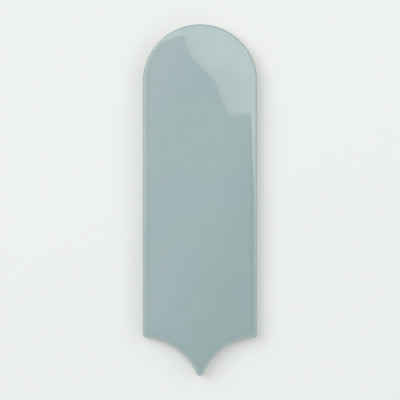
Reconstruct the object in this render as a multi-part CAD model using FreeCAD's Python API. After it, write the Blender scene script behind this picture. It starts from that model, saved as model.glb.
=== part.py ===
"""Fish scale wall tile: one pressed, glazed and fired piece.

The head is a half circle, the sides are straight, and the tail runs to a point between two hollow arcs.
Each hollow is struck as a head is, wider by a clearance, so that the tile nests with its like as scales do.
The tile lies on its back: X across it, Y along it towards the head, Z up out of the glazed face.
The origin is on the plane of the back, under the middle of the outline's box. Sizes are in millimetres.
"""

import FreeCAD, Part

import math
import os

# Outline of the tile, and the clearance that it keeps all round where it nests with its like
TILE_WIDTH = 65.0
TILE_LENGTH = 200.0
JOINT_WIDTH = 2.0

# Glazed face: its cushioned crown, its rounded rim, and the corners of the face inside the rim
TILE_THICKNESS = 9.0
CROWN_ACROSS = 0.6
CROWN_ALONG = 0.4
RIM_RADIUS = 1.2
FACE_TIP_RADIUS = 0.8
FACE_SHOULDER_RADIUS = 0.4

# Walls: an upright land under the rim, then a lower part that leans in to the back and its broken edge
LAND_HEIGHT = 1.8
BACK_INSET = 0.4
BACK_ARRIS = 0.4

# Keys: shallow grooves across the back that hold the adhesive
KEY_MOUTH = 6.0
KEY_RIB = 6.0
KEY_DEPTH = 0.8
KEY_WALL_LEAN = 0.6
KEY_BORDER = 5.2
KEY_CORNER_RADIUS = 1.5
SHORTEST_KEY = 18.0

# How far the cutting and crowning tools reach past the tile
TOOL_MARGIN = 5.0

# Corners of the outline, which the rim runs round
TIP_RADIUS = RIM_RADIUS + FACE_TIP_RADIUS
SHOULDER_RADIUS = RIM_RADIUS + FACE_SHOULDER_RADIUS

# Centres of the outline's large arcs: the head's on the axis, and one in each hollow
HALF_WIDTH = TILE_WIDTH / 2
HALF_LENGTH = TILE_LENGTH / 2
COLUMN_PITCH = TILE_WIDTH + JOINT_WIDTH
HOLLOW_RADIUS = HALF_WIDTH + JOINT_WIDTH
HOLLOW_X = COLUMN_PITCH / 2
HEAD_Y = HALF_LENGTH - HALF_WIDTH
HOLLOW_Y = TIP_RADIUS - HALF_LENGTH - math.sqrt((HOLLOW_RADIUS + TIP_RADIUS) ** 2 - HOLLOW_X ** 2)

# Levels and insets that follow from the section
LAND_FOOT = TILE_THICKNESS - CROWN_ACROSS - CROWN_ALONG - RIM_RADIUS - LAND_HEIGHT
KEY_INSET = BACK_INSET + BACK_ARRIS + KEY_BORDER
KEY_PITCH = KEY_MOUTH + KEY_RIB

ACROSS = FreeCAD.Vector(1, 0, 0)
UP = FreeCAD.Vector(0, 0, 1)


def arc_point(centre, radius, angle):
    """The point of a circle at an angle from +X, on the circle's own level."""
    return centre + FreeCAD.Vector(radius * math.cos(angle), radius * math.sin(angle), 0)


def direction(start, end):
    """The angle from +X of the line from one point to another."""
    return math.atan2(end.y - start.y, end.x - start.x)


def arc_edge(centre, radius, first, last):
    """An arc of a circle between two angles."""
    angles = (first, (first + last) / 2, last)
    return Part.Arc(*[arc_point(centre, radius, angle) for angle in angles]).toShape()


def mirrored(edge):
    """The same edge on the other side of the tile."""
    return edge.mirror(FreeCAD.Vector(), ACROSS)


def tile_outline(inset, level, tip_radius, shoulder_radius):
    """The tile's outline as a closed wire, moved in by an inset, with its convex corners rounded."""
    side_x = HALF_WIDTH - inset
    hollow_radius = HOLLOW_RADIUS + inset
    head = FreeCAD.Vector(0, HEAD_Y, level)
    hollow = FreeCAD.Vector(HOLLOW_X, HOLLOW_Y, level)

    # A corner's circle touches the hollow's circle from outside, so their centres lie both radii apart.
    tip_rise = math.sqrt((hollow_radius + tip_radius) ** 2 - HOLLOW_X ** 2)
    tip = FreeCAD.Vector(0, HOLLOW_Y + tip_rise, level)
    shoulder_x = side_x - shoulder_radius
    shoulder_rise = math.sqrt((hollow_radius + shoulder_radius) ** 2 - (HOLLOW_X - shoulder_x) ** 2)
    shoulder = FreeCAD.Vector(shoulder_x, HOLLOW_Y + shoulder_rise, level)
    to_tip = direction(hollow, tip)
    to_shoulder = direction(hollow, shoulder)

    right_half = [
        arc_edge(hollow, hollow_radius, to_tip, to_shoulder),
        arc_edge(shoulder, shoulder_radius, to_shoulder - math.pi, 0),
        Part.LineSegment(arc_point(shoulder, shoulder_radius, 0), arc_point(head, side_x, 0)).toShape(),
    ]
    on_axis = [
        arc_edge(head, side_x, 0, math.pi),
        arc_edge(tip, tip_radius, -to_tip, to_tip - math.pi),
    ]
    left_half = [mirrored(edge) for edge in right_half]
    return Part.Wire(Part.__sortEdges__(right_half + on_axis + left_half))


def offset_outline(inset, level):
    """The outline moved in evenly, so that its convex corners tighten by as much."""
    return tile_outline(inset, level, TIP_RADIUS - inset, SHOULDER_RADIUS - inset)


def sagitta_radius(span, rise):
    """Radius of the arc that rises by that much over a span."""
    return (span ** 2 / 4 + rise ** 2) / (2 * rise)


def pressed_blank():
    """The blank with a flat face: walls that lean, so that it leaves the die, and the land above them."""
    leaning = Part.makeLoft([offset_outline(BACK_INSET, 0), offset_outline(0, LAND_FOOT)], True, True)
    upright = Part.Face(offset_outline(0, LAND_FOOT)).extrude(UP * (TILE_THICKNESS - LAND_FOOT))
    return leaning.fuse(upright)


def crown_tool():
    """The room under the cushioned face: an arc across the tile, turned about a far axis below it."""
    across = sagitta_radius(TILE_WIDTH, CROWN_ACROSS)
    along = sagitta_radius(TILE_LENGTH, CROWN_ALONG)
    half_span = HALF_WIDTH + TOOL_MARGIN
    edge_level = TILE_THICKNESS - across + math.sqrt(across ** 2 - half_span ** 2)
    left_foot = FreeCAD.Vector(-half_span, 0, -TILE_THICKNESS)
    right_foot = FreeCAD.Vector(half_span, 0, -TILE_THICKNESS)
    right_edge = FreeCAD.Vector(half_span, 0, edge_level)
    left_edge = FreeCAD.Vector(-half_span, 0, edge_level)
    top = FreeCAD.Vector(0, 0, TILE_THICKNESS)
    profile = Part.Face(Part.Wire([
        Part.LineSegment(left_foot, right_foot).toShape(),
        Part.LineSegment(right_foot, right_edge).toShape(),
        Part.Arc(right_edge, top, left_edge).toShape(),
        Part.LineSegment(left_edge, left_foot).toShape(),
    ]))
    far_axis = FreeCAD.Vector(0, 0, TILE_THICKNESS - along)
    foot_radius = along - 2 * TILE_THICKNESS
    half_turn = math.degrees((HALF_LENGTH + TOOL_MARGIN) / foot_radius)
    profile.rotate(far_axis, ACROSS, -half_turn)
    return profile.revolve(far_axis, ACROSS, 2 * half_turn)


def rounded_rim(body):
    """The body with the edge of its glazed face rounded all the way round."""
    face = max(body.Faces, key=lambda each: each.CenterOfMass.z)
    return body.makeFillet(RIM_RADIUS, face.Edges)


def broken_back_edge(body):
    """The body with the edge of its back taken off all the way round."""
    back = min(body.Faces, key=lambda each: each.CenterOfMass.z)
    return body.makeChamfer(BACK_ARRIS, back.Edges)


def key_centres():
    """Y of each key's middle: as many as fit where the bordered back is wide enough, centred there."""
    half_key = SHORTEST_KEY / 2
    low = HOLLOW_Y + math.sqrt((HOLLOW_RADIUS + KEY_INSET) ** 2 - (HOLLOW_X - half_key) ** 2)
    high = HEAD_Y + math.sqrt((HALF_WIDTH - KEY_INSET) ** 2 - half_key ** 2)
    count = int((high - low + KEY_RIB) // KEY_PITCH)
    first = (low + high - (count - 1) * KEY_PITCH) / 2
    return [first + index * KEY_PITCH for index in range(count)]


def key_bar(centre_y):
    """One key's cutter: a bar across the tile, wider at the groove's mouth than at its floor."""
    reach = HALF_WIDTH + TOOL_MARGIN
    half_mouth = KEY_MOUTH / 2
    half_floor = half_mouth - KEY_WALL_LEAN
    corners = [
        FreeCAD.Vector(-reach, centre_y - half_mouth, 0),
        FreeCAD.Vector(-reach, centre_y + half_mouth, 0),
        FreeCAD.Vector(-reach, centre_y + half_floor, KEY_DEPTH),
        FreeCAD.Vector(-reach, centre_y - half_floor, KEY_DEPTH),
    ]
    section = Part.Face(Part.makePolygon(corners + corners[:1]))
    return section.extrude(ACROSS * (2 * reach))


def back_keys():
    """All the keys' cutters, cut off by a border that follows the outline."""
    border = tile_outline(KEY_INSET, 0, KEY_CORNER_RADIUS, KEY_CORNER_RADIUS)
    field = Part.Face(border).extrude(UP * KEY_DEPTH)
    return field.common(Part.makeCompound([key_bar(centre_y) for centre_y in key_centres()]))


def fish_scale_tile():
    """The finished tile as one solid."""
    cushioned = pressed_blank().common(crown_tool())
    finished = broken_back_edge(rounded_rim(cushioned))
    return finished.cut(back_keys()).Solids[0]


def main():
    """Builds the tile, writes it and prints what it measures, with the pitches at which it nests."""
    tile = fish_scale_tile()
    os.makedirs("parts", exist_ok=True)
    tile.exportStep("parts/fish_scale_tile.step")
    row_pitch = HALF_LENGTH - HALF_WIDTH - HOLLOW_Y
    counts = f"{len(tile.Faces)} faces, {len(key_centres())} keys"
    print(f"tile: valid {tile.isValid()}, {tile.Volume:.0f} mm3, {counts}")
    print(f"laid: columns every {COLUMN_PITCH:.2f} mm, rows every {row_pitch:.2f} mm")


main()
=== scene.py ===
"""Looks of a fish scale tile: a gloss blue-grey glaze on an off-white fired body, on a pale floor.

The tile is one closed surface. A profile is carried round the outline for the rim and the walls, and two
grids close it: one across the glazed face, one across the keyed back. Sizes are in metres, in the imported
frame: X across the tile, Y along it towards the round head, Z up out of the glazed face.
"""

import logging
from dataclasses import dataclass
from enum import Enum

import bpy
import numpy as np
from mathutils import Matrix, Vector


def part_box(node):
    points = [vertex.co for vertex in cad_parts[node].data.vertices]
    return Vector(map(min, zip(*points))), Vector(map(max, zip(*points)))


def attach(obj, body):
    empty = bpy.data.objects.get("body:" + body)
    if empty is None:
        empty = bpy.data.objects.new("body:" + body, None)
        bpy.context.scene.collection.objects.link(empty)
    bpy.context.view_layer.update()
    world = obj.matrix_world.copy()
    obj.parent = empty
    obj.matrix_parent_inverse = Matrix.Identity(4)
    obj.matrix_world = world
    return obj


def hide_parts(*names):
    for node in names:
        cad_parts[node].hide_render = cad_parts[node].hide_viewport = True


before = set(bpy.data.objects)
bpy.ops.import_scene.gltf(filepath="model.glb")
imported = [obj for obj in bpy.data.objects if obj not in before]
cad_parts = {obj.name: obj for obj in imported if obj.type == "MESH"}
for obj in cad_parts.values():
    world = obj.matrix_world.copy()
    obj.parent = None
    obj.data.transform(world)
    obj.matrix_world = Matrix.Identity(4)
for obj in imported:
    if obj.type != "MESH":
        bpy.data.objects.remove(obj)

Array = np.ndarray
Numbers = float | Array
Socket = bpy.types.NodeSocket
Colour = tuple[float, float, float, float]

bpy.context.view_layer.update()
NODE = "fish_scale_tile"
BODY = "root"
GLAZE_DEPTH = "glaze_depth"
MM = 0.001
PURE_WHITE: Colour = (1.0, 1.0, 1.0, 1.0)
STUDIO_WHITE: Colour = (0.840, 0.866, 0.860, 1.0)
LOG = logging.getLogger(NODE)


class Coat(Enum):
    """What a stretch of the tile's surface shows. The value is its material's place on the piece."""

    GLAZE = 0
    BISCUIT = 1


class Half(Enum):
    """One side of the tile's long axis. The value is the sign of X there."""

    RIGHT = 1
    LEFT = -1


def shares(count: int, last: bool = False) -> Array:
    """Even shares of a stretch, in a row from 0 towards 1. Only the last stretch has its end too."""
    return np.linspace(0, 1, count + last, endpoint=last)[None, :]


def arc(
    x: Numbers, y: Numbers, radius: Numbers, first: Numbers, final: Numbers, share: Array
) -> tuple[Array, Array]:
    """Points of circles between two angles.

    The angle goes evenly from the first to the final one. A point is the centre plus the radius times the
    cosine of its angle in X, and times the sine in Y.

    Args:
        x: X of the centres, one row for a circle.
        y: Y of the centres.
        radius: Radius of the circles.
        first: Angle at share 0, from +X.
        final: Angle at share 1.
        share: Shares of the way between the two angles.

    Returns:
        X and Y of the points.
    """
    angle = first + (final - first) * share
    return x + radius * np.cos(angle), y + radius * np.sin(angle)


def upright(x: Numbers, low: Numbers, high: float, share: Array) -> tuple[Array, Array]:
    """Points of upright lines: X is the same all along, and Y goes from low to high with the share."""
    y = low + (high - low) * share
    return x + 0 * y, y


@dataclass(frozen=True)
class Outline:
    """The tile's outline: a half-round head, straight sides, and a pointed tail between two hollow arcs.

    A hollow's radius is the head's and the nesting gap, so that a tail fits between two heads.
    """

    half_width: float
    half_length: float
    nesting_gap: float = 2.0 * MM
    tip_radius: float = 2.0 * MM
    shoulder_radius: float = 1.6 * MM
    least_corner: float = 0.6 * MM
    tip_points: int = 6
    hollow_points: int = 44
    shoulder_points: int = 6
    side_points: int = 130
    head_points: int = 60

    @property
    def hollow_radius(self) -> float:
        """Radius of a hollow: the head's radius and the nesting gap."""
        return self.half_width + self.nesting_gap

    @property
    def hollow_x(self) -> float:
        """X of the right hollow's centre: half the tile's width and half the nesting gap."""
        return self.half_width + self.nesting_gap / 2

    @property
    def hollow_y(self) -> float:
        """Y of the hollows' centres: both hollows touch the tip's circle, which ends the tile's length."""
        reach = self.hollow_radius + self.tip_radius
        return self.tip_radius - self.half_length - np.sqrt(reach**2 - self.hollow_x**2)

    @property
    def head_y(self) -> float:
        """Y of the head's centre."""
        return self.half_length - self.half_width

    def corner(self, radius: float, inset: Array) -> Array:
        """Radius of a moved-in convex corner: a hyperbola in the inset, never under the least corner."""
        # Further in it opens again, so that no crease runs from the corner into the face.
        turning = np.sqrt(radius**2 - self.least_corner**2)
        return np.sqrt((turning - inset) ** 2 + self.least_corner**2)

    def half_ring(self, inset: Numbers) -> tuple[Array, Array]:
        """Right half of the moved-in outline, from the tail's point up to the top of the head.

        Four arcs and a line, each a function of its own share from 0 to 1. A corner's circle touches the
        hollow's circle from outside, so their centres lie both radii apart.

        Args:
            inset: How far each ring is moved in, one value for a ring.

        Returns:
            X and Y of the points, one row for a ring.
        """
        inset = np.atleast_1d(inset)[:, None]
        side = self.half_width - inset
        hollow = self.hollow_radius + inset
        tip = self.corner(self.tip_radius, inset)
        shoulder = self.corner(self.shoulder_radius, inset)
        tip_y = self.hollow_y + np.sqrt((hollow + tip) ** 2 - self.hollow_x**2)
        shoulder_x = side - shoulder
        shoulder_y = self.hollow_y + np.sqrt((hollow + shoulder) ** 2 - (self.hollow_x - shoulder_x) ** 2)
        to_tip = np.arctan2(tip_y - self.hollow_y, -self.hollow_x)
        to_shoulder = np.arctan2(shoulder_y - self.hollow_y, shoulder_x - self.hollow_x)
        stretches = [
            arc(0, tip_y, tip, -np.pi / 2, to_tip - np.pi, shares(self.tip_points)),
            arc(self.hollow_x, self.hollow_y, hollow, to_tip, to_shoulder, shares(self.hollow_points)),
            arc(shoulder_x, shoulder_y, shoulder, to_shoulder - np.pi, 0, shares(self.shoulder_points)),
            upright(side, shoulder_y, self.head_y, shares(self.side_points)),
            arc(0, self.head_y, side, 0, np.pi / 2, shares(self.head_points, last=True)),
        ]
        x = np.concatenate([stretch[0] for stretch in stretches], axis=1)
        y = np.concatenate([stretch[1] for stretch in stretches], axis=1)
        # Both ends lie on the axis, and the cosine of a right angle is only nearly zero.
        x[:, [0, -1]] = 0
        return x, y

    def ring(self, inset: Numbers) -> tuple[Array, Array]:
        """The whole moved-in outline, anticlockwise from the tail's point: a half ring and its mirror."""
        x, y = self.half_ring(inset)
        return np.hstack([x, -x[:, -2:0:-1]]), np.hstack([y, y[:, -2:0:-1]])

    def way_round(self) -> Array:
        """Measures the way round the outline.

        Returns:
            Each point's share of the way, by length, from 0 at the tail's point.
        """
        x, y = self.ring(0.0)
        steps = np.hypot(np.diff(x[0], append=x[0, 0]), np.diff(y[0], append=y[0, 0]))
        return (np.cumsum(steps) - steps) / steps.sum()


@dataclass(frozen=True)
class Bell:
    """A bell curve: its height, where its middle is, and how far out it has fallen to about a third."""

    height: float
    middle: float
    reach: float

    def at(self, place: Numbers) -> Numbers:
        """The height times e to the minus square of the way from the middle, counted in reaches."""
        return self.height * np.exp(-(((place - self.middle) / self.reach) ** 2))


@dataclass(frozen=True)
class Swell:
    """Slow, shallow waves of a fired glaze: a sum of sines whose heights grow with their lengths."""

    seed: int = 11
    count: int = 8
    shortest: float = 24 * MM
    longest: float = 95 * MM
    steepness: float = 0.006

    def height(self, x: Array, y: Array) -> Array:
        """Height of the waves at each point.

        Each wave is a sine along its own direction, with a length L between the shortest and the longest.
        Its height is the steepness times L over two pi, so that every wave is as steep as the next.

        Args:
            x: X of the points.
            y: Y of the points.

        Returns:
            The summed height, over the square root of the waves' count.
        """
        chance = np.random.default_rng(self.seed)
        number = 2 * np.pi / np.geomspace(self.shortest, self.longest, self.count)
        heading = chance.uniform(0, np.pi, self.count)
        phase = chance.uniform(0, 2 * np.pi, self.count)
        along = x[..., None] * np.cos(heading) + y[..., None] * np.sin(heading)
        waves = np.sin(number * along + phase) * self.steepness / number
        return waves.sum(-1) / np.sqrt(self.count)


@dataclass(frozen=True)
class GlazeLine:
    """The line on the walls where the glaze ends: uneven, with a few runs that reached further down."""

    seed: int = 5
    level: float = 4.7 * MM
    sway: float = 1.3 * MM
    slowest: int = 3
    quickest: int = 70
    waves: int = 26
    runs: int = 7
    run_depth: float = 1.0 * MM
    least_run: float = 0.4
    run_share: float = 0.0045

    def height(self, share: Array) -> Array:
        """Height of the line round the tile.

        The level, plus sines that fit the way round a whole number of times and are lower the quicker
        they are, less a bell curve for each run of glaze. A run is counted by the shorter way round to it.

        Args:
            share: Shares of the way round the outline, from 0 to 1.

        Returns:
            The line's height above the back, one value for a share.
        """
        chance = np.random.default_rng(self.seed)
        turns = np.round(np.geomspace(self.slowest, self.quickest, self.waves))
        phase = chance.uniform(0, 2 * np.pi, self.waves)
        weight = np.sqrt(self.slowest / turns)
        sway = (weight * np.sin(2 * np.pi * turns * share[:, None] + phase)).sum(1) / weight.sum()
        place = chance.uniform(0, 1, self.runs)
        size = chance.uniform(self.least_run, 1, self.runs) * self.run_depth
        away = (share[:, None] - place + 0.5) % 1 - 0.5
        runs = (size * np.exp(-((away / self.run_share) ** 2))).sum(1)
        return self.level + self.sway * sway - runs


class Meshwork:
    """Points and faces of one piece, gathered part by part as whole arrays."""

    def __init__(self) -> None:
        """Starts with no points and no faces."""
        self.points: list[Array] = []
        self.depths: list[Array] = []
        self.faces: list[Array] = []
        self.coats: list[Array] = []
        self.count = 0

    def add_points(self, x: Array, y: Array, z: Array, depth: Numbers) -> Array:
        """Adds points.

        Args:
            x: X of the points, in any shape that fits the others.
            y: Y of the points.
            z: Z of the points.
            depth: How thick the glaze lies there, 1 where it lies full.

        Returns:
            The numbers of the points, in their common shape.
        """
        x, y, z, depth = np.broadcast_arrays(x, y, z, depth)
        self.points.append(np.stack([x.ravel(), y.ravel(), z.ravel()], axis=1))
        self.depths.append(depth.ravel())
        numbers = self.count + np.arange(x.size).reshape(x.shape)
        self.count += x.size
        return numbers

    def add_faces(self, corners: Array, coat: Coat) -> None:
        """Adds faces with as many corners each, one row for a face."""
        self.faces.append(corners)
        self.coats.append(np.full(len(corners), coat.value, np.int32))

    def add_grid(self, numbers: Array, coat: Coat) -> None:
        """Adds the faces of a grid of points, seen from the side where rows go up and columns go right.

        A face whose lower or upper corners are one point, at a pole, becomes a triangle.

        Args:
            numbers: The points' numbers, one row of the grid for a row.
            coat: What the faces show.
        """
        low, high = numbers[:-1], numbers[1:]
        quads = np.stack([low[:, :-1], low[:, 1:], high[:, 1:], high[:, :-1]], axis=-1).reshape(-1, 4)
        at_foot = quads[:, 0] == quads[:, 1]
        at_top = quads[:, 2] == quads[:, 3]
        self.add_faces(quads[~(at_foot | at_top)], coat)
        self.add_faces(quads[at_foot][:, [0, 2, 3]], coat)
        self.add_faces(quads[at_top][:, [0, 1, 2]], coat)

    def add_rings(self, numbers: Array, coat: Coat) -> None:
        """Adds the faces between closed rings of points, which go from the face outwards and down."""
        columns = numbers.T
        self.add_grid(np.vstack([columns, columns[:1]]), coat)

    def to_mesh(self, name: str) -> bpy.types.Mesh:
        """Puts all that was gathered into one mesh.

        Args:
            name: The mesh's name.

        Returns:
            The mesh, with its material places and the depth of its glaze.
        """
        mesh = bpy.data.meshes.new(name)
        faces = [corners for part in self.faces for corners in part.tolist()]
        mesh.from_pydata(np.concatenate(self.points).tolist(), [], faces)
        mesh.polygons.foreach_set("material_index", np.concatenate(self.coats))
        depth = mesh.attributes.new(GLAZE_DEPTH, "FLOAT", "POINT")
        depth.data.foreach_set("value", np.concatenate(self.depths).astype(np.float32))
        mesh.update()
        return mesh


def chain_of(ring: Array, half: Half) -> Array:
    """One side of a ring's point numbers, from the tail's point up to the top of the head."""
    top = len(ring) // 2
    return ring[: top + 1] if half is Half.RIGHT else np.concatenate([ring[:1], ring[: top - 1 : -1]])


def between_poles(first: int, rows: Array, last: int) -> Array:
    """A grid of point numbers whose first and last row are single points."""
    columns = rows.shape[1]
    return np.vstack([np.full(columns, first), rows, np.full(columns, last)])


def zipped(outer: Array, outer_share: Array, inner: Array, inner_share: Array, half: Half) -> Array:
    """Triangles between two chains of points on the back, seen from below.

    Both chains run from the tail to the head. They are merged by their shares of that way: each step
    along one chain makes a triangle with the point that the other has reached.

    Args:
        outer: Numbers of the outer chain's points.
        outer_share: Their shares, rising from 0 to 1.
        inner: Numbers of the inner chain's points.
        inner_share: Their shares, rising from 0 to 1.
        half: The side of the tile that the chains lie on, which sets the way round.

    Returns:
        The corners, one row for a triangle.
    """
    reached_inner = np.searchsorted(inner_share[1:], outer_share[1:], side="left")
    reached_outer = np.searchsorted(outer_share[1:], inner_share[1:], side="right")
    along_outer = np.stack([outer[:-1], inner[reached_inner], outer[1:]], axis=1)
    along_inner = np.stack([outer[reached_outer], inner[:-1], inner[1:]], axis=1)
    corners = np.concatenate([along_outer, along_inner])
    return corners if half is Half.RIGHT else corners[:, ::-1]


@dataclass(frozen=True)
class Ramp:
    """A smooth step: where a number goes from low to high, what it gives goes from start to end."""

    low: float
    high: float
    start: float = 0.0
    end: float = 1.0


@dataclass(frozen=True)
class Clouds:
    """Cloudy noise: the length of its patches, how many finer layers it has, and their strength."""

    length: float
    layers: float = 2.0
    strength: float = 0.5


class ShaderTree:
    """A node tree, with short ways to add the nodes that the finishes share."""

    def __init__(self, tree: bpy.types.NodeTree) -> None:
        """Takes over a tree and empties it."""
        self.tree = tree
        tree.nodes.clear()

    def add(self, kind: str, inputs: dict[str | int, object], **settings: object) -> bpy.types.Node:
        """Adds a node.

        Args:
            kind: The node's type.
            inputs: What goes into its sockets, by name or number: a socket to wire from, or a value.
            settings: The node's own properties.

        Returns:
            The node.
        """
        node = self.tree.nodes.new(kind)
        for name, value in settings.items():
            setattr(node, name, value)
        for name, value in inputs.items():
            if isinstance(value, Socket):
                self.tree.links.new(value, node.inputs[name])
            else:
                node.inputs[name].default_value = value
        return node

    def place(self) -> Socket:
        """The point on the piece, in metres."""
        return self.add("ShaderNodeTexCoord", {}).outputs["Object"]

    def attribute(self, name: str) -> Socket:
        """A number that the piece's mesh holds at each point."""
        return self.add("ShaderNodeAttribute", {}, attribute_name=name).outputs["Fac"]

    def clouded(self, place: Socket, clouds: Clouds) -> Socket:
        """Noise that lies mostly between 0.3 and 0.7.

        Args:
            place: The point that it is read at.
            clouds: The clouds.

        Returns:
            The noise at the point.
        """
        finer = {"Detail": clouds.layers, "Roughness": clouds.strength}
        node = self.add("ShaderNodeTexNoise", {"Vector": place, "Scale": 1 / clouds.length} | finer)
        return node.outputs["Fac"]

    def ramped(self, value: Socket, ramp: Ramp) -> Socket:
        """Carries a number over by a ramp, and holds it at the ramp's ends.

        Args:
            value: The number.
            ramp: The ramp.

        Returns:
            The number that the ramp gives.
        """
        given = {"Value": value, "From Min": ramp.low, "From Max": ramp.high}
        wanted = {"To Min": ramp.start, "To Max": ramp.end}
        node = self.add("ShaderNodeMapRange", given | wanted, interpolation_type="SMOOTHSTEP")
        return node.outputs["Result"]

    def mixed(self, factor: Socket, first: Socket | Colour, second: Socket | Colour) -> Socket:
        """The first colour, turning into the second as the factor goes from 0 to 1."""
        # Socket 0 of the node is its factor, 6 and 7 are its colours, and output 2 is the mixed colour.
        return self.add("ShaderNodeMix", {0: factor, 6: first, 7: second}, data_type="RGBA").outputs[2]

    def maths(self, operation: str, first: Socket, second: Socket) -> Socket:
        """Two numbers joined by an operation."""
        return self.add("ShaderNodeMath", {0: first, 1: second}, operation=operation).outputs[0]

    def bumped(self, height: Socket, distance: float) -> Socket:
        """The surface's direction over a relief as high as the distance in metres."""
        return self.add("ShaderNodeBump", {"Height": height, "Distance": distance}).outputs["Normal"]

    def seen(self) -> Socket:
        """Tells what is looked at from light that is on its way.

        Returns:
            1 for rays from the eye, straight, by a gloss or through glass, and 0 for all others.
        """
        path = self.add("ShaderNodeLightPath", {})
        straight = self.maths("MAXIMUM", path.outputs["Is Camera Ray"], path.outputs["Is Glossy Ray"])
        return self.maths("MAXIMUM", straight, path.outputs["Is Transmission Ray"])

    def end(self, surface: Socket, kind: str = "ShaderNodeOutputMaterial") -> None:
        """Sends a shader to the tree's output."""
        self.add(kind, {"Surface": surface})


def new_material(name: str) -> tuple[bpy.types.Material, ShaderTree]:
    """Starts a material.

    Args:
        name: The material's name.

    Returns:
        The material and its empty tree.
    """
    material = bpy.data.materials.new(name)
    material.use_nodes = True
    return material, ShaderTree(material.node_tree)


@dataclass(frozen=True)
class GlazeFinish:
    """Gloss glaze: blue-grey clouded with green-grey, darker where it gathers, paler where it is thin."""

    name: str = "blue_grey_gloss_glaze"
    blue_grey: Colour = (0.322, 0.417, 0.427, 1.0)
    green_grey: Colour = (0.328, 0.424, 0.425, 1.0)
    gathered: Colour = (0.272, 0.360, 0.371, 1.0)
    thin: Colour = (0.390, 0.485, 0.485, 1.0)
    clouds: Clouds = Clouds(34 * MM)
    mottle: Clouds = Clouds(7 * MM, 5, 0.6)
    ripple: Clouds = Clouds(6 * MM, 1)
    patches: Clouds = Clouds(14 * MM, 4, 0.6)
    greening: Ramp = Ramp(0.36, 0.64)
    mottling: Ramp = Ramp(0.40, 0.70, 0.0, 0.22)
    gathering: Ramp = Ramp(1.0, 1.6, 0.0, 0.7)
    thinning: Ramp = Ramp(0.92, 0.45, 0.0, 0.7)
    patching: Ramp = Ramp(0.35, 0.62, 0.5, 1.0)
    dulling: Ramp = Ramp(0.3, 0.7, 0.020, 0.042)
    ripple_height: float = 0.005 * MM
    refraction: float = 1.52

    def material(self) -> bpy.types.Material:
        """Makes the finish.

        Returns:
            Its material, which reads the depth of the glaze from the piece's mesh.
        """
        material, tree = new_material(self.name)
        place = tree.place()
        depth = tree.attribute(GLAZE_DEPTH)
        clouds = tree.clouded(place, self.clouds)
        colour = tree.mixed(tree.ramped(clouds, self.greening), self.blue_grey, self.green_grey)
        mottling = tree.ramped(tree.clouded(place, self.mottle), self.mottling)
        colour = tree.mixed(mottling, colour, self.gathered)
        colour = tree.mixed(tree.ramped(depth, self.gathering), colour, self.gathered)
        patches = tree.ramped(tree.clouded(place, self.patches), self.patching)
        thinning = tree.maths("MULTIPLY", tree.ramped(depth, self.thinning), patches)
        colour = tree.mixed(thinning, colour, self.thin)
        surface = tree.add("ShaderNodeBsdfPrincipled", {
            "Base Color": colour,
            "Roughness": tree.ramped(clouds, self.dulling),
            "IOR": self.refraction,
            "Normal": tree.bumped(tree.clouded(place, self.ripple), self.ripple_height),
        })
        tree.end(surface.outputs["BSDF"])
        return material


@dataclass(frozen=True)
class BiscuitFinish:
    """The bare fired body: off-white, dull and finely grained, with a few darker grains."""

    name: str = "off_white_biscuit"
    pale: Colour = (0.700, 0.655, 0.580, 1.0)
    warm: Colour = (0.625, 0.565, 0.480, 1.0)
    speck: Colour = (0.330, 0.270, 0.210, 1.0)
    clouds: Clouds = Clouds(6 * MM, 5, 0.65)
    grain: Clouds = Clouds(0.8 * MM, 3, 0.65)
    warming: Ramp = Ramp(0.3, 0.7)
    specking: Ramp = Ramp(0.64, 0.72, 0.0, 0.6)
    dulling: Ramp = Ramp(0.3, 0.7, 0.84, 0.95)
    grain_height: float = 0.05 * MM

    def material(self) -> bpy.types.Material:
        """Makes the finish.

        Returns:
            Its material.
        """
        material, tree = new_material(self.name)
        place = tree.place()
        clouds = tree.clouded(place, self.clouds)
        grain = tree.clouded(place, self.grain)
        colour = tree.mixed(tree.ramped(clouds, self.warming), self.pale, self.warm)
        colour = tree.mixed(tree.ramped(grain, self.specking), colour, self.speck)
        surface = tree.add("ShaderNodeBsdfPrincipled", {
            "Base Color": colour,
            "Roughness": tree.ramped(clouds, self.dulling),
            "Normal": tree.bumped(grain, self.grain_height),
        })
        tree.end(surface.outputs["BSDF"])
        return material


@dataclass(frozen=True)
class FloorFinish:
    """A dull, pale floor that turns into the studio's white further out, where no shadow falls."""

    name: str = "pale_floor"
    colour: Colour = (0.815, 0.836, 0.831, 1.0)
    fading: Ramp = Ramp(0.125, 0.45)

    def material(self) -> bpy.types.Material:
        """Makes the finish.

        Returns:
            Its material.
        """
        material, tree = new_material(self.name)
        reach = tree.add("ShaderNodeVectorMath", {0: tree.place()}, operation="LENGTH").outputs["Value"]
        far = tree.maths("MULTIPLY", tree.ramped(reach, self.fading), tree.seen())
        near = tree.add("ShaderNodeBsdfDiffuse", {"Color": self.colour})
        white = tree.add("ShaderNodeEmission", {"Color": STUDIO_WHITE, "Strength": 1.0})
        both = {0: far, 1: near.outputs["BSDF"], 2: white.outputs["Emission"]}
        tree.end(tree.add("ShaderNodeMixShader", both).outputs["Shader"])
        return material


@dataclass(frozen=True)
class Glow:
    """The finish of a card that gives light, and gives more of it along one way, in steps that add up."""

    name: str
    way: tuple[float, float, float]
    steps: tuple[Ramp, ...]
    colour: Colour = PURE_WHITE

    def material(self) -> bpy.types.Material:
        """Makes the finish.

        Returns:
            Its material.
        """
        material, tree = new_material(self.name)
        towards = {0: tree.place(), 1: self.way}
        along = tree.add("ShaderNodeVectorMath", towards, operation="DOT_PRODUCT").outputs["Value"]
        strength = tree.ramped(along, self.steps[0])
        for step in self.steps[1:]:
            strength = tree.maths("ADD", strength, tree.ramped(along, step))
        glow = tree.add("ShaderNodeEmission", {"Color": self.colour, "Strength": strength})
        tree.end(glow.outputs["Emission"])
        return material


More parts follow.
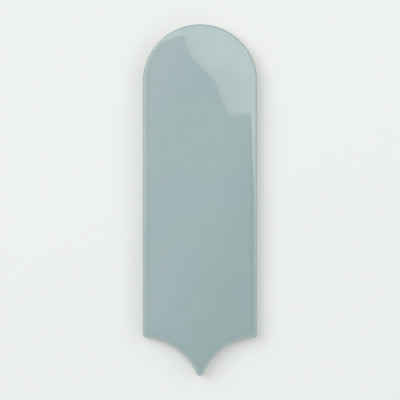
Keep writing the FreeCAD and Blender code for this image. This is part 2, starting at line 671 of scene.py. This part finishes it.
@dataclass(frozen=True)
class GlazedFace:
    """The glazed face, crowned both ways, with the glaze's swell on it. The rim makes its outer band."""

    outline: Outline
    thickness: float
    swell: Swell = Swell()
    rise_across: float = 0.6 * MM
    rise_along: float = 0.4 * MM
    band: float = 5.0 * MM
    gathered: Bell = Bell(0.3, -2.0 * MM, 0.9 * MM)
    thinned: Bell = Bell(0.55, 0.6 * MM, 0.9 * MM)
    pooling: float = 1.4 / MM
    columns: int = 44

    def crown_radii(self) -> tuple[float, float]:
        """Works out the crown's two arcs, over the tile's width and over its length.

        An arc's radius is half its breadth squared plus its rise squared, over twice its rise.

        Returns:
            The two radii.
        """
        across = (self.outline.half_width**2 + self.rise_across**2) / (2 * self.rise_across)
        along = (self.outline.half_length**2 + self.rise_along**2) / (2 * self.rise_along)
        return across, along

    def level(self, x: Array, y: Array) -> Array:
        """Height of the face: the thickness, less a squared fall each way, plus the glaze's swell."""
        across, along = self.crown_radii()
        return self.thickness - x**2 / (2 * across) - y**2 / (2 * along) + self.swell.height(x, y)

    def glaze_depth(self, x: Array, y: Array, way: Numbers) -> Array:
        """How thick the glaze lies on the face and the rim, 1 where it lies full.

        It gathers inside the rim and thins as the rim turns, by a bell curve each, and it runs off the
        swell's crests by a share of their height.

        Args:
            x: X of the points.
            y: Y of the points.
            way: How far out they lie over the surface, from where the rim begins to turn.

        Returns:
            The depth at each point.
        """
        gathered = self.gathered.at(way)
        thinned = self.thinned.at(way)
        run_off = self.pooling * self.swell.height(x, y)
        return 1 + gathered - thinned - run_off

    def add_to(self, work: Meshwork, border: Array) -> None:
        """Adds the face inside its outer band.

        Each row joins a point of the band's inner ring to its twin across the axis. X is a share, from -1
        to 1, of the half breadth there, Y is the same all along, and Z is the height of the face.

        Args:
            work: The piece so far.
            border: Numbers of the points of the band's inner ring.
        """
        x, y = self.outline.half_ring(self.band)
        share = np.linspace(-1, 1, self.columns + 1)[1:-1]
        across = x[0, 1:-1, None] * share
        along = y[0, 1:-1, None] + 0 * across
        depth = self.glaze_depth(across, along, -self.band)
        inner = work.add_points(across, along, self.level(across, along), depth)
        left, right = chain_of(border, Half.LEFT), chain_of(border, Half.RIGHT)
        rows = np.hstack([left[1:-1, None], inner, right[1:-1, None]])
        work.add_grid(between_poles(left[0], rows, left[-1]), Coat.GLAZE)


@dataclass(frozen=True)
class Rim:
    """The rounded rim, and the outer band of the face, which rolls off towards it."""

    face: GlazedFace
    radius: float = 1.2 * MM
    roll_depth: float = 0.18 * MM
    band_rings: int = 8
    round_rings: int = 12

    def foot_level(self, x: Array, y: Array) -> Array:
        """Height of the rim's foot: the face's, less the rim's radius and the roll-off."""
        return self.face.level(x, y) - self.radius - self.roll_depth

    def add_to(self, work: Meshwork) -> Array:
        """Adds the outer band of the face and the rim.

        The profile is a level run out to the rim, then a quarter circle: inset r (1 - cos a) and drop
        r (1 - sin a), with a from a right angle down to zero. All along it the glaze rolls off by the
        square of the share of the band that lies behind. The profile is carried round the outline, and its
        drop is taken off the height of the face.

        Args:
            work: The piece so far.

        Returns:
            Numbers of the points, one row for a ring, from the face outwards.
        """
        run = np.linspace(self.face.band, self.radius, self.band_rings, endpoint=False)
        turn = np.linspace(np.pi / 2, 0, self.round_rings)
        inset = np.concatenate([run, self.radius * (1 - np.cos(turn))])
        drop = np.concatenate([0 * run, self.radius * (1 - np.sin(turn))])
        drop += self.roll_depth * (1 - inset / self.face.band) ** 2
        way = np.concatenate([self.radius - run, self.radius * (np.pi / 2 - turn)])
        x, y = self.face.outline.ring(inset)
        depth = self.face.glaze_depth(x, y, way[:, None])
        rings = work.add_points(x, y, self.face.level(x, y) - drop[:, None], depth)
        work.add_rings(rings, Coat.GLAZE)
        return rings


@dataclass(frozen=True)
class Walls:
    """The walls: glazed down to the glaze line, then bare, leaning in to a broken edge at the back."""

    outline: Outline
    rim: Rim
    glaze_line: GlazeLine = GlazeLine()
    lip_height: float = 0.45 * MM
    lip_depth: float = 0.16 * MM
    lip_gathered: float = 0.5
    lean: float = 0.4 * MM
    arris: float = 0.4 * MM
    wall_rings: int = 4
    lip_rings: int = 5

    @property
    def back_inset(self) -> float:
        """How far in from the outline the back begins: the lean and the broken edge."""
        return self.lean + self.arris

    def add_to(self, work: Meshwork, rim_foot: Array) -> Array:
        """Adds the walls.

        They go straight down from the rim to the glaze line, where the glaze ends in a lip, a quarter of
        an ellipse in from the wall's face. On the way down it gathers by the square of the share of that
        way. Then they lean in to the broken edge, which runs in to the back.

        Args:
            work: The piece so far.
            rim_foot: Numbers of the points of the rim's lowest ring.

        Returns:
            Numbers of the points round the edge of the back.
        """
        x, y = self.outline.ring(0.0)
        top = self.rim.foot_level(x[0], y[0])
        line = self.glaze_line.height(self.outline.way_round())
        down = np.linspace(0, 1, self.wall_rings + 1)[1:, None]
        turn = np.linspace(0, np.pi / 2, self.lip_rings + 1)[1:, None]

        glazed_level = np.vstack([
            top + (line + self.lip_height - top) * down,
            line + self.lip_height * (1 - np.sin(turn)),
        ])
        glazed_inset = np.concatenate([0 * down[:, 0], self.lip_depth * (1 - np.cos(turn[:, 0]))])
        glazed_depth = 1 + self.lip_gathered * np.concatenate([down**2, np.ones_like(turn)])
        x, y = self.outline.ring(glazed_inset)
        glazed = work.add_points(x, y, glazed_level, glazed_depth)
        work.add_rings(np.vstack([rim_foot, glazed]), Coat.GLAZE)

        bare_level = np.vstack([line + (self.arris - line) * down, 0 * line])
        bare_inset = self.lip_depth + (self.lean - self.lip_depth) * down[:, 0]
        x, y = self.outline.ring(np.append(bare_inset, self.back_inset))
        bare = work.add_points(x, y, bare_level, 0.0)
        work.add_rings(np.vstack([glazed[-1:], bare]), Coat.BISCUIT)
        return bare[-1]


@dataclass(frozen=True)
class KeyedBack:
    """The back: keys with leaning walls, sunk across it inside a border that follows the outline."""

    outline: Outline
    edge_inset: float
    border: float = 5.2 * MM
    mouth: float = 6.0 * MM
    rib: float = 6.0 * MM
    depth: float = 0.8 * MM
    lean: float = 0.6 * MM
    shortest: float = 18.0 * MM
    floor_share: float = 0.985
    columns: int = 6
    rows_in_step: int = 3

    @property
    def key_inset(self) -> float:
        """How far in from the outline the keys end."""
        return self.edge_inset + self.border

    def key_centres(self) -> Array:
        """Sets out the keys: as many as fit where the back is wide enough for the shortest.

        They are centred on that stretch. By the circles of the moved-in hollows and head, it goes from
        where the hollows are half a shortest key from the axis up to where the head is.

        Returns:
            Y of each key's middle.
        """
        half_key = self.shortest / 2
        hollow = self.outline.hollow_radius + self.key_inset
        head = self.outline.half_width - self.key_inset
        low = self.outline.hollow_y + np.sqrt(hollow**2 - (self.outline.hollow_x - half_key) ** 2)
        high = self.outline.head_y + np.sqrt(head**2 - half_key**2)
        pitch = self.mouth + self.rib
        count = int((high - low + self.rib) // pitch)
        return (low + high) / 2 + (np.arange(count) - (count - 1) / 2) * pitch

    def add_to(self, work: Meshwork, edge: Array) -> None:
        """Adds the back: a grid of rows with the keys sunk into it, and the border round that grid.

        X is a share, from 1 to -1, of the half breadth inside the border, and Y steps from edge to edge of
        the keys. Z is zero on the ribs and at both ends of a row, and the key's depth on its floor, with a
        straight lean between.

        Args:
            work: The piece so far.
            edge: Numbers of the points round the edge of the back.
        """
        half_mouth = self.mouth / 2
        half_floor = half_mouth - self.lean
        centres = self.key_centres()
        edges = centres[:, None] + np.array([-half_mouth, -half_floor, half_floor, half_mouth])
        x, y = self.outline.half_ring(self.key_inset)
        steps = np.concatenate([y[0, :1], edges.ravel(), y[0, -1:]])
        finer = np.arange((len(steps) - 1) * self.rows_in_step + 1) / self.rows_in_step
        level = np.interp(finer, np.arange(len(steps)), steps)

        from_middle = np.abs(level[1:-1, None] - centres).min(1)
        sunk = self.depth * np.clip((half_mouth - from_middle) / self.lean, 0, 1)
        floor = np.linspace(self.floor_share, -self.floor_share, self.columns + 1)
        share = np.concatenate([[1], floor, [-1]])
        across = np.interp(level[1:-1], y[0], x[0])[:, None] * share
        height = sunk[:, None] * (np.abs(share) < 1)
        rows = work.add_points(across, level[1:-1, None], height, 0.0)
        poles = work.add_points(np.zeros(2), level[[0, -1]], np.zeros(2), 0.0)
        grid = between_poles(poles[0], rows, poles[1])
        work.add_grid(grid, Coat.BISCUIT)

        outer_share = np.linspace(0, 1, y.shape[1])
        inner_share = np.interp(level, y[0], outer_share)
        for half, column in ((Half.RIGHT, 0), (Half.LEFT, -1)):
            border = zipped(chain_of(edge, half), outer_share, grid[:, column], inner_share, half)
            work.add_faces(border, Coat.BISCUIT)


@dataclass(frozen=True)
class FishScaleTile:
    """The tile: its glazed face, its rim, its walls and its keyed back, in one closed piece."""

    face: GlazedFace
    rim: Rim
    walls: Walls
    back: KeyedBack
    glaze: GlazeFinish = GlazeFinish()
    biscuit: BiscuitFinish = BiscuitFinish()
    name: str = "glazed_tile"
    sharp_angle: float = np.radians(32)

    @classmethod
    def fitted(cls, low: Vector, high: Vector) -> "FishScaleTile":
        """Fits a tile to a box.

        Args:
            low: The box's lowest corner.
            high: Its highest corner.

        Returns:
            The tile, as wide, as long and as thick as the box.
        """
        outline = Outline(half_width=(high.x - low.x) / 2, half_length=(high.y - low.y) / 2)
        face = GlazedFace(outline, thickness=high.z - low.z)
        rim = Rim(face)
        walls = Walls(outline, rim)
        return cls(face, rim, walls, KeyedBack(outline, walls.back_inset))

    def build(self) -> bpy.types.Object:
        """Makes the tile's mesh and its object.

        Returns:
            The tile, at the origin, with its place in its mesh.
        """
        work = Meshwork()
        rings = self.rim.add_to(work)
        self.face.add_to(work, rings[0])
        edge = self.walls.add_to(work, rings[-1])
        self.back.add_to(work, edge)
        mesh = work.to_mesh(self.name)
        mesh.shade_smooth()
        mesh.set_sharp_from_angle(angle=self.sharp_angle)
        piece = bpy.data.objects.new(self.name, mesh)
        bpy.context.scene.collection.objects.link(piece)
        return piece

    def dress(self, piece: bpy.types.Object) -> None:
        """Gives the tile its finishes and its place in the frame.

        Args:
            piece: The tile.
        """
        finishes = {Coat.GLAZE: self.glaze, Coat.BISCUIT: self.biscuit}
        for coat in Coat:
            piece.data.materials.append(finishes[coat].material())
        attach(piece, BODY)
        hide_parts(NODE)


def stage_piece(name: str, points: Array, finish: FloorFinish | Glow) -> bpy.types.Object:
    """Makes a flat card or floor that is no part of the tile.

    Args:
        name: Its name.
        points: Its corners, in order round it.
        finish: Its finish.

    Returns:
        Its object.
    """
    mesh = bpy.data.meshes.new(name)
    mesh.from_pydata(points.tolist(), [], [list(range(len(points)))])
    mesh.materials.append(finish.material())
    piece = bpy.data.objects.new(name, mesh)
    bpy.context.scene.collection.objects.link(piece)
    return piece


def level_square(half_breadth: float, height: float) -> Array:
    """Corners of a level square over the middle of the tile, anticlockwise from above."""
    signs = np.array([[-1, -1], [1, -1], [1, 1], [-1, 1]])
    return np.column_stack([signs * half_breadth, np.full(len(signs), height)])


@dataclass(frozen=True)
class Floor:
    """The floor that the tile lies on."""

    name: str = "floor"
    half_breadth: float = 12.0
    finish: FloorFinish = FloorFinish()

    def build(self) -> bpy.types.Object:
        """Makes the floor, level with the tile's back."""
        return stage_piece(self.name, level_square(self.half_breadth, 0.0), self.finish)


@dataclass(frozen=True)
class WindowCard:
    """A bright card high above the tile, laid out by where the crowned face mirrors it.

    The corners are points of the face, in millimetres from its middle, and so are those past the tile's
    edge, as if the crown went on. The rim rolls off and mirrors what lies further out, so the tongue past
    the right-hand edge shows as a pale line that runs down the rim.
    """

    name: str = "window_card"
    height: float = 1.6
    corners: tuple[tuple[float, float], ...] = (
        (18, 52.5), (42, 52.5), (70, -38), (80, -38), (80, 200), (-60, 200), (-60, 159),
    )
    finish: Glow = Glow(
        "window_glow",
        way=(0.40, 0.917, 0.0),
        steps=(Ramp(0.15, 0.255, 2.2, 3.95),),
        colour=(0.98, 1.0, 1.0, 1.0),
    )

    def build(self, face: GlazedFace, eye_height: float) -> bpy.types.Object:
        """Makes the card.

        A ray from the eye at height e meets the face at distance x from the middle with a slope of x over
        e, and the face's own slope x over r turns it by twice as much. So at the card's height h it is
        x (1 + h / e + 2 h / r) from the middle. That holds across the tile with one radius of the crown,
        and along it with the other.

        Args:
            face: The glazed face, which gives the radii of its crown.
            eye_height: Height of the camera above the face.

        Returns:
            The card's object.
        """
        spread = 1 + self.height / eye_height + 2 * self.height / np.array(face.crown_radii())
        places = np.array(self.corners) * MM * spread
        points = np.column_stack([places, np.full(len(places), face.thickness + self.height)])
        card = stage_piece(self.name, points, self.finish)
        card.visible_camera = False
        return card


@dataclass(frozen=True)
class Diffuser:
    """A broad card overhead, brighter to the left and towards the head, mirrored as a slow shading."""

    name: str = "diffuser"
    height: float = 1.66
    half_breadth: float = 0.55
    finish: Glow = Glow(
        "diffuser_glow",
        way=(-0.707, 0.707, 0.0),
        steps=(Ramp(-0.20, 0.015, 0.23, 1.05), Ramp(0.15, 0.27, 0.0, 0.5)),
    )

    def build(self) -> bpy.types.Object:
        """Makes the card, level over the middle of the tile and above the window card.

        Returns:
            The card's object.
        """
        card = stage_piece(self.name, level_square(self.half_breadth, self.height), self.finish)
        card.visible_camera = False
        return card


@dataclass(frozen=True)
class SoftLamp:
    """A broad, square, soft lamp that is turned towards the middle of the tile."""

    name: str
    place: tuple[float, float, float]
    breadth: float
    power: float

    def build(self) -> bpy.types.Object:
        """Makes the lamp.

        Returns:
            The lamp's object.
        """
        light = bpy.data.lights.new(self.name, "AREA")
        light.size = self.breadth
        light.energy = self.power
        lamp = bpy.data.objects.new(self.name, light)
        lamp.location = self.place
        lamp.rotation_euler = (-lamp.location).to_track_quat("-Z", "Y").to_euler()
        bpy.context.scene.collection.objects.link(lamp)
        return lamp


@dataclass(frozen=True)
class Surroundings:
    """Even light from all round, and the white that is seen behind the floor."""

    name: str = "surroundings"
    light: float = 0.485

    def build(self) -> bpy.types.World:
        """Makes the world: one strength for its light, and the studio's white where it is seen.

        Returns:
            The world, set as the scene's.
        """
        world = bpy.data.worlds.new(self.name)
        world.use_nodes = True
        tree = ShaderTree(world.node_tree)
        light = tree.add("ShaderNodeBackground", {"Strength": self.light, "Color": PURE_WHITE})
        white = tree.add("ShaderNodeBackground", {"Strength": 1.0, "Color": STUDIO_WHITE})
        both = {0: tree.seen(), 1: light.outputs["Background"], 2: white.outputs["Background"]}
        tree.end(tree.add("ShaderNodeMixShader", both).outputs["Shader"], "ShaderNodeOutputWorld")
        bpy.context.scene.world = world
        return world


@dataclass(frozen=True)
class Viewpoint:
    """The camera, straight above the middle of the tile, with the head towards the top of the picture."""

    name: str = "camera"
    focal_length: float = 180.0
    sensor: float = 36.0
    tile_share: float = 0.88

    def height(self, face: GlazedFace) -> float:
        """Height above the face: the tile's length over its share of the view, times lens over sensor."""
        return 2 * face.outline.half_length / self.tile_share * self.focal_length / self.sensor

    def build(self, face: GlazedFace) -> bpy.types.Object:
        """Makes the camera and sets it as the scene's.

        Args:
            face: The glazed face, which gives the camera its height.

        Returns:
            The camera's object.
        """
        lens = bpy.data.cameras.new(self.name)
        lens.lens = self.focal_length
        lens.sensor_width = self.sensor
        camera = bpy.data.objects.new(self.name, lens)
        camera.location = (0, 0, face.thickness + self.height(face))
        bpy.context.scene.collection.objects.link(camera)
        bpy.context.scene.camera = camera
        return camera


@dataclass(frozen=True)
class Studio:
    """What the tile is seen with: the floor, the cards, the lamps, the light all round and the camera."""

    floor: Floor = Floor()
    window_card: WindowCard = WindowCard()
    diffuser: Diffuser = Diffuser()
    lamps: tuple[SoftLamp, ...] = (
        SoftLamp("key_lamp", place=(-1.26, 0.76, 1.64), breadth=1.7, power=22.0),
        SoftLamp("fill_lamp", place=(1.16, -1.07, 1.12), breadth=1.2, power=4.0),
        SoftLamp("side_lamp", place=(1.45, 0.45, 1.25), breadth=1.2, power=6.0),
    )
    surroundings: Surroundings = Surroundings()
    viewpoint: Viewpoint = Viewpoint()

    def build(self, face: GlazedFace) -> list[bpy.types.ID]:
        """Makes all of it, in order.

        Args:
            face: The glazed face, by which the window card and the camera are placed.

        Returns:
            What was made.
        """
        return [
            self.floor.build(),
            self.window_card.build(face, self.viewpoint.height(face)),
            self.diffuser.build(),
            *[lamp.build() for lamp in self.lamps],
            self.surroundings.build(),
            self.viewpoint.build(face),
        ]


def main() -> None:
    """Builds the tile and the studio round it, in order, and reports each piece."""
    logging.basicConfig(level=logging.INFO, format="%(name)s: %(message)s")
    bpy.context.scene.view_settings.view_transform = "Standard"
    tile = FishScaleTile.fitted(*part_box(NODE))
    piece = tile.build()
    tile.dress(piece)
    LOG.info("%s: %d faces, rides on %s", piece.name, len(piece.data.polygons), BODY)
    for thing in Studio().build(tile.face):
        LOG.info("%s: part of the studio", thing.name)


if __name__ == "__main__":
    main()
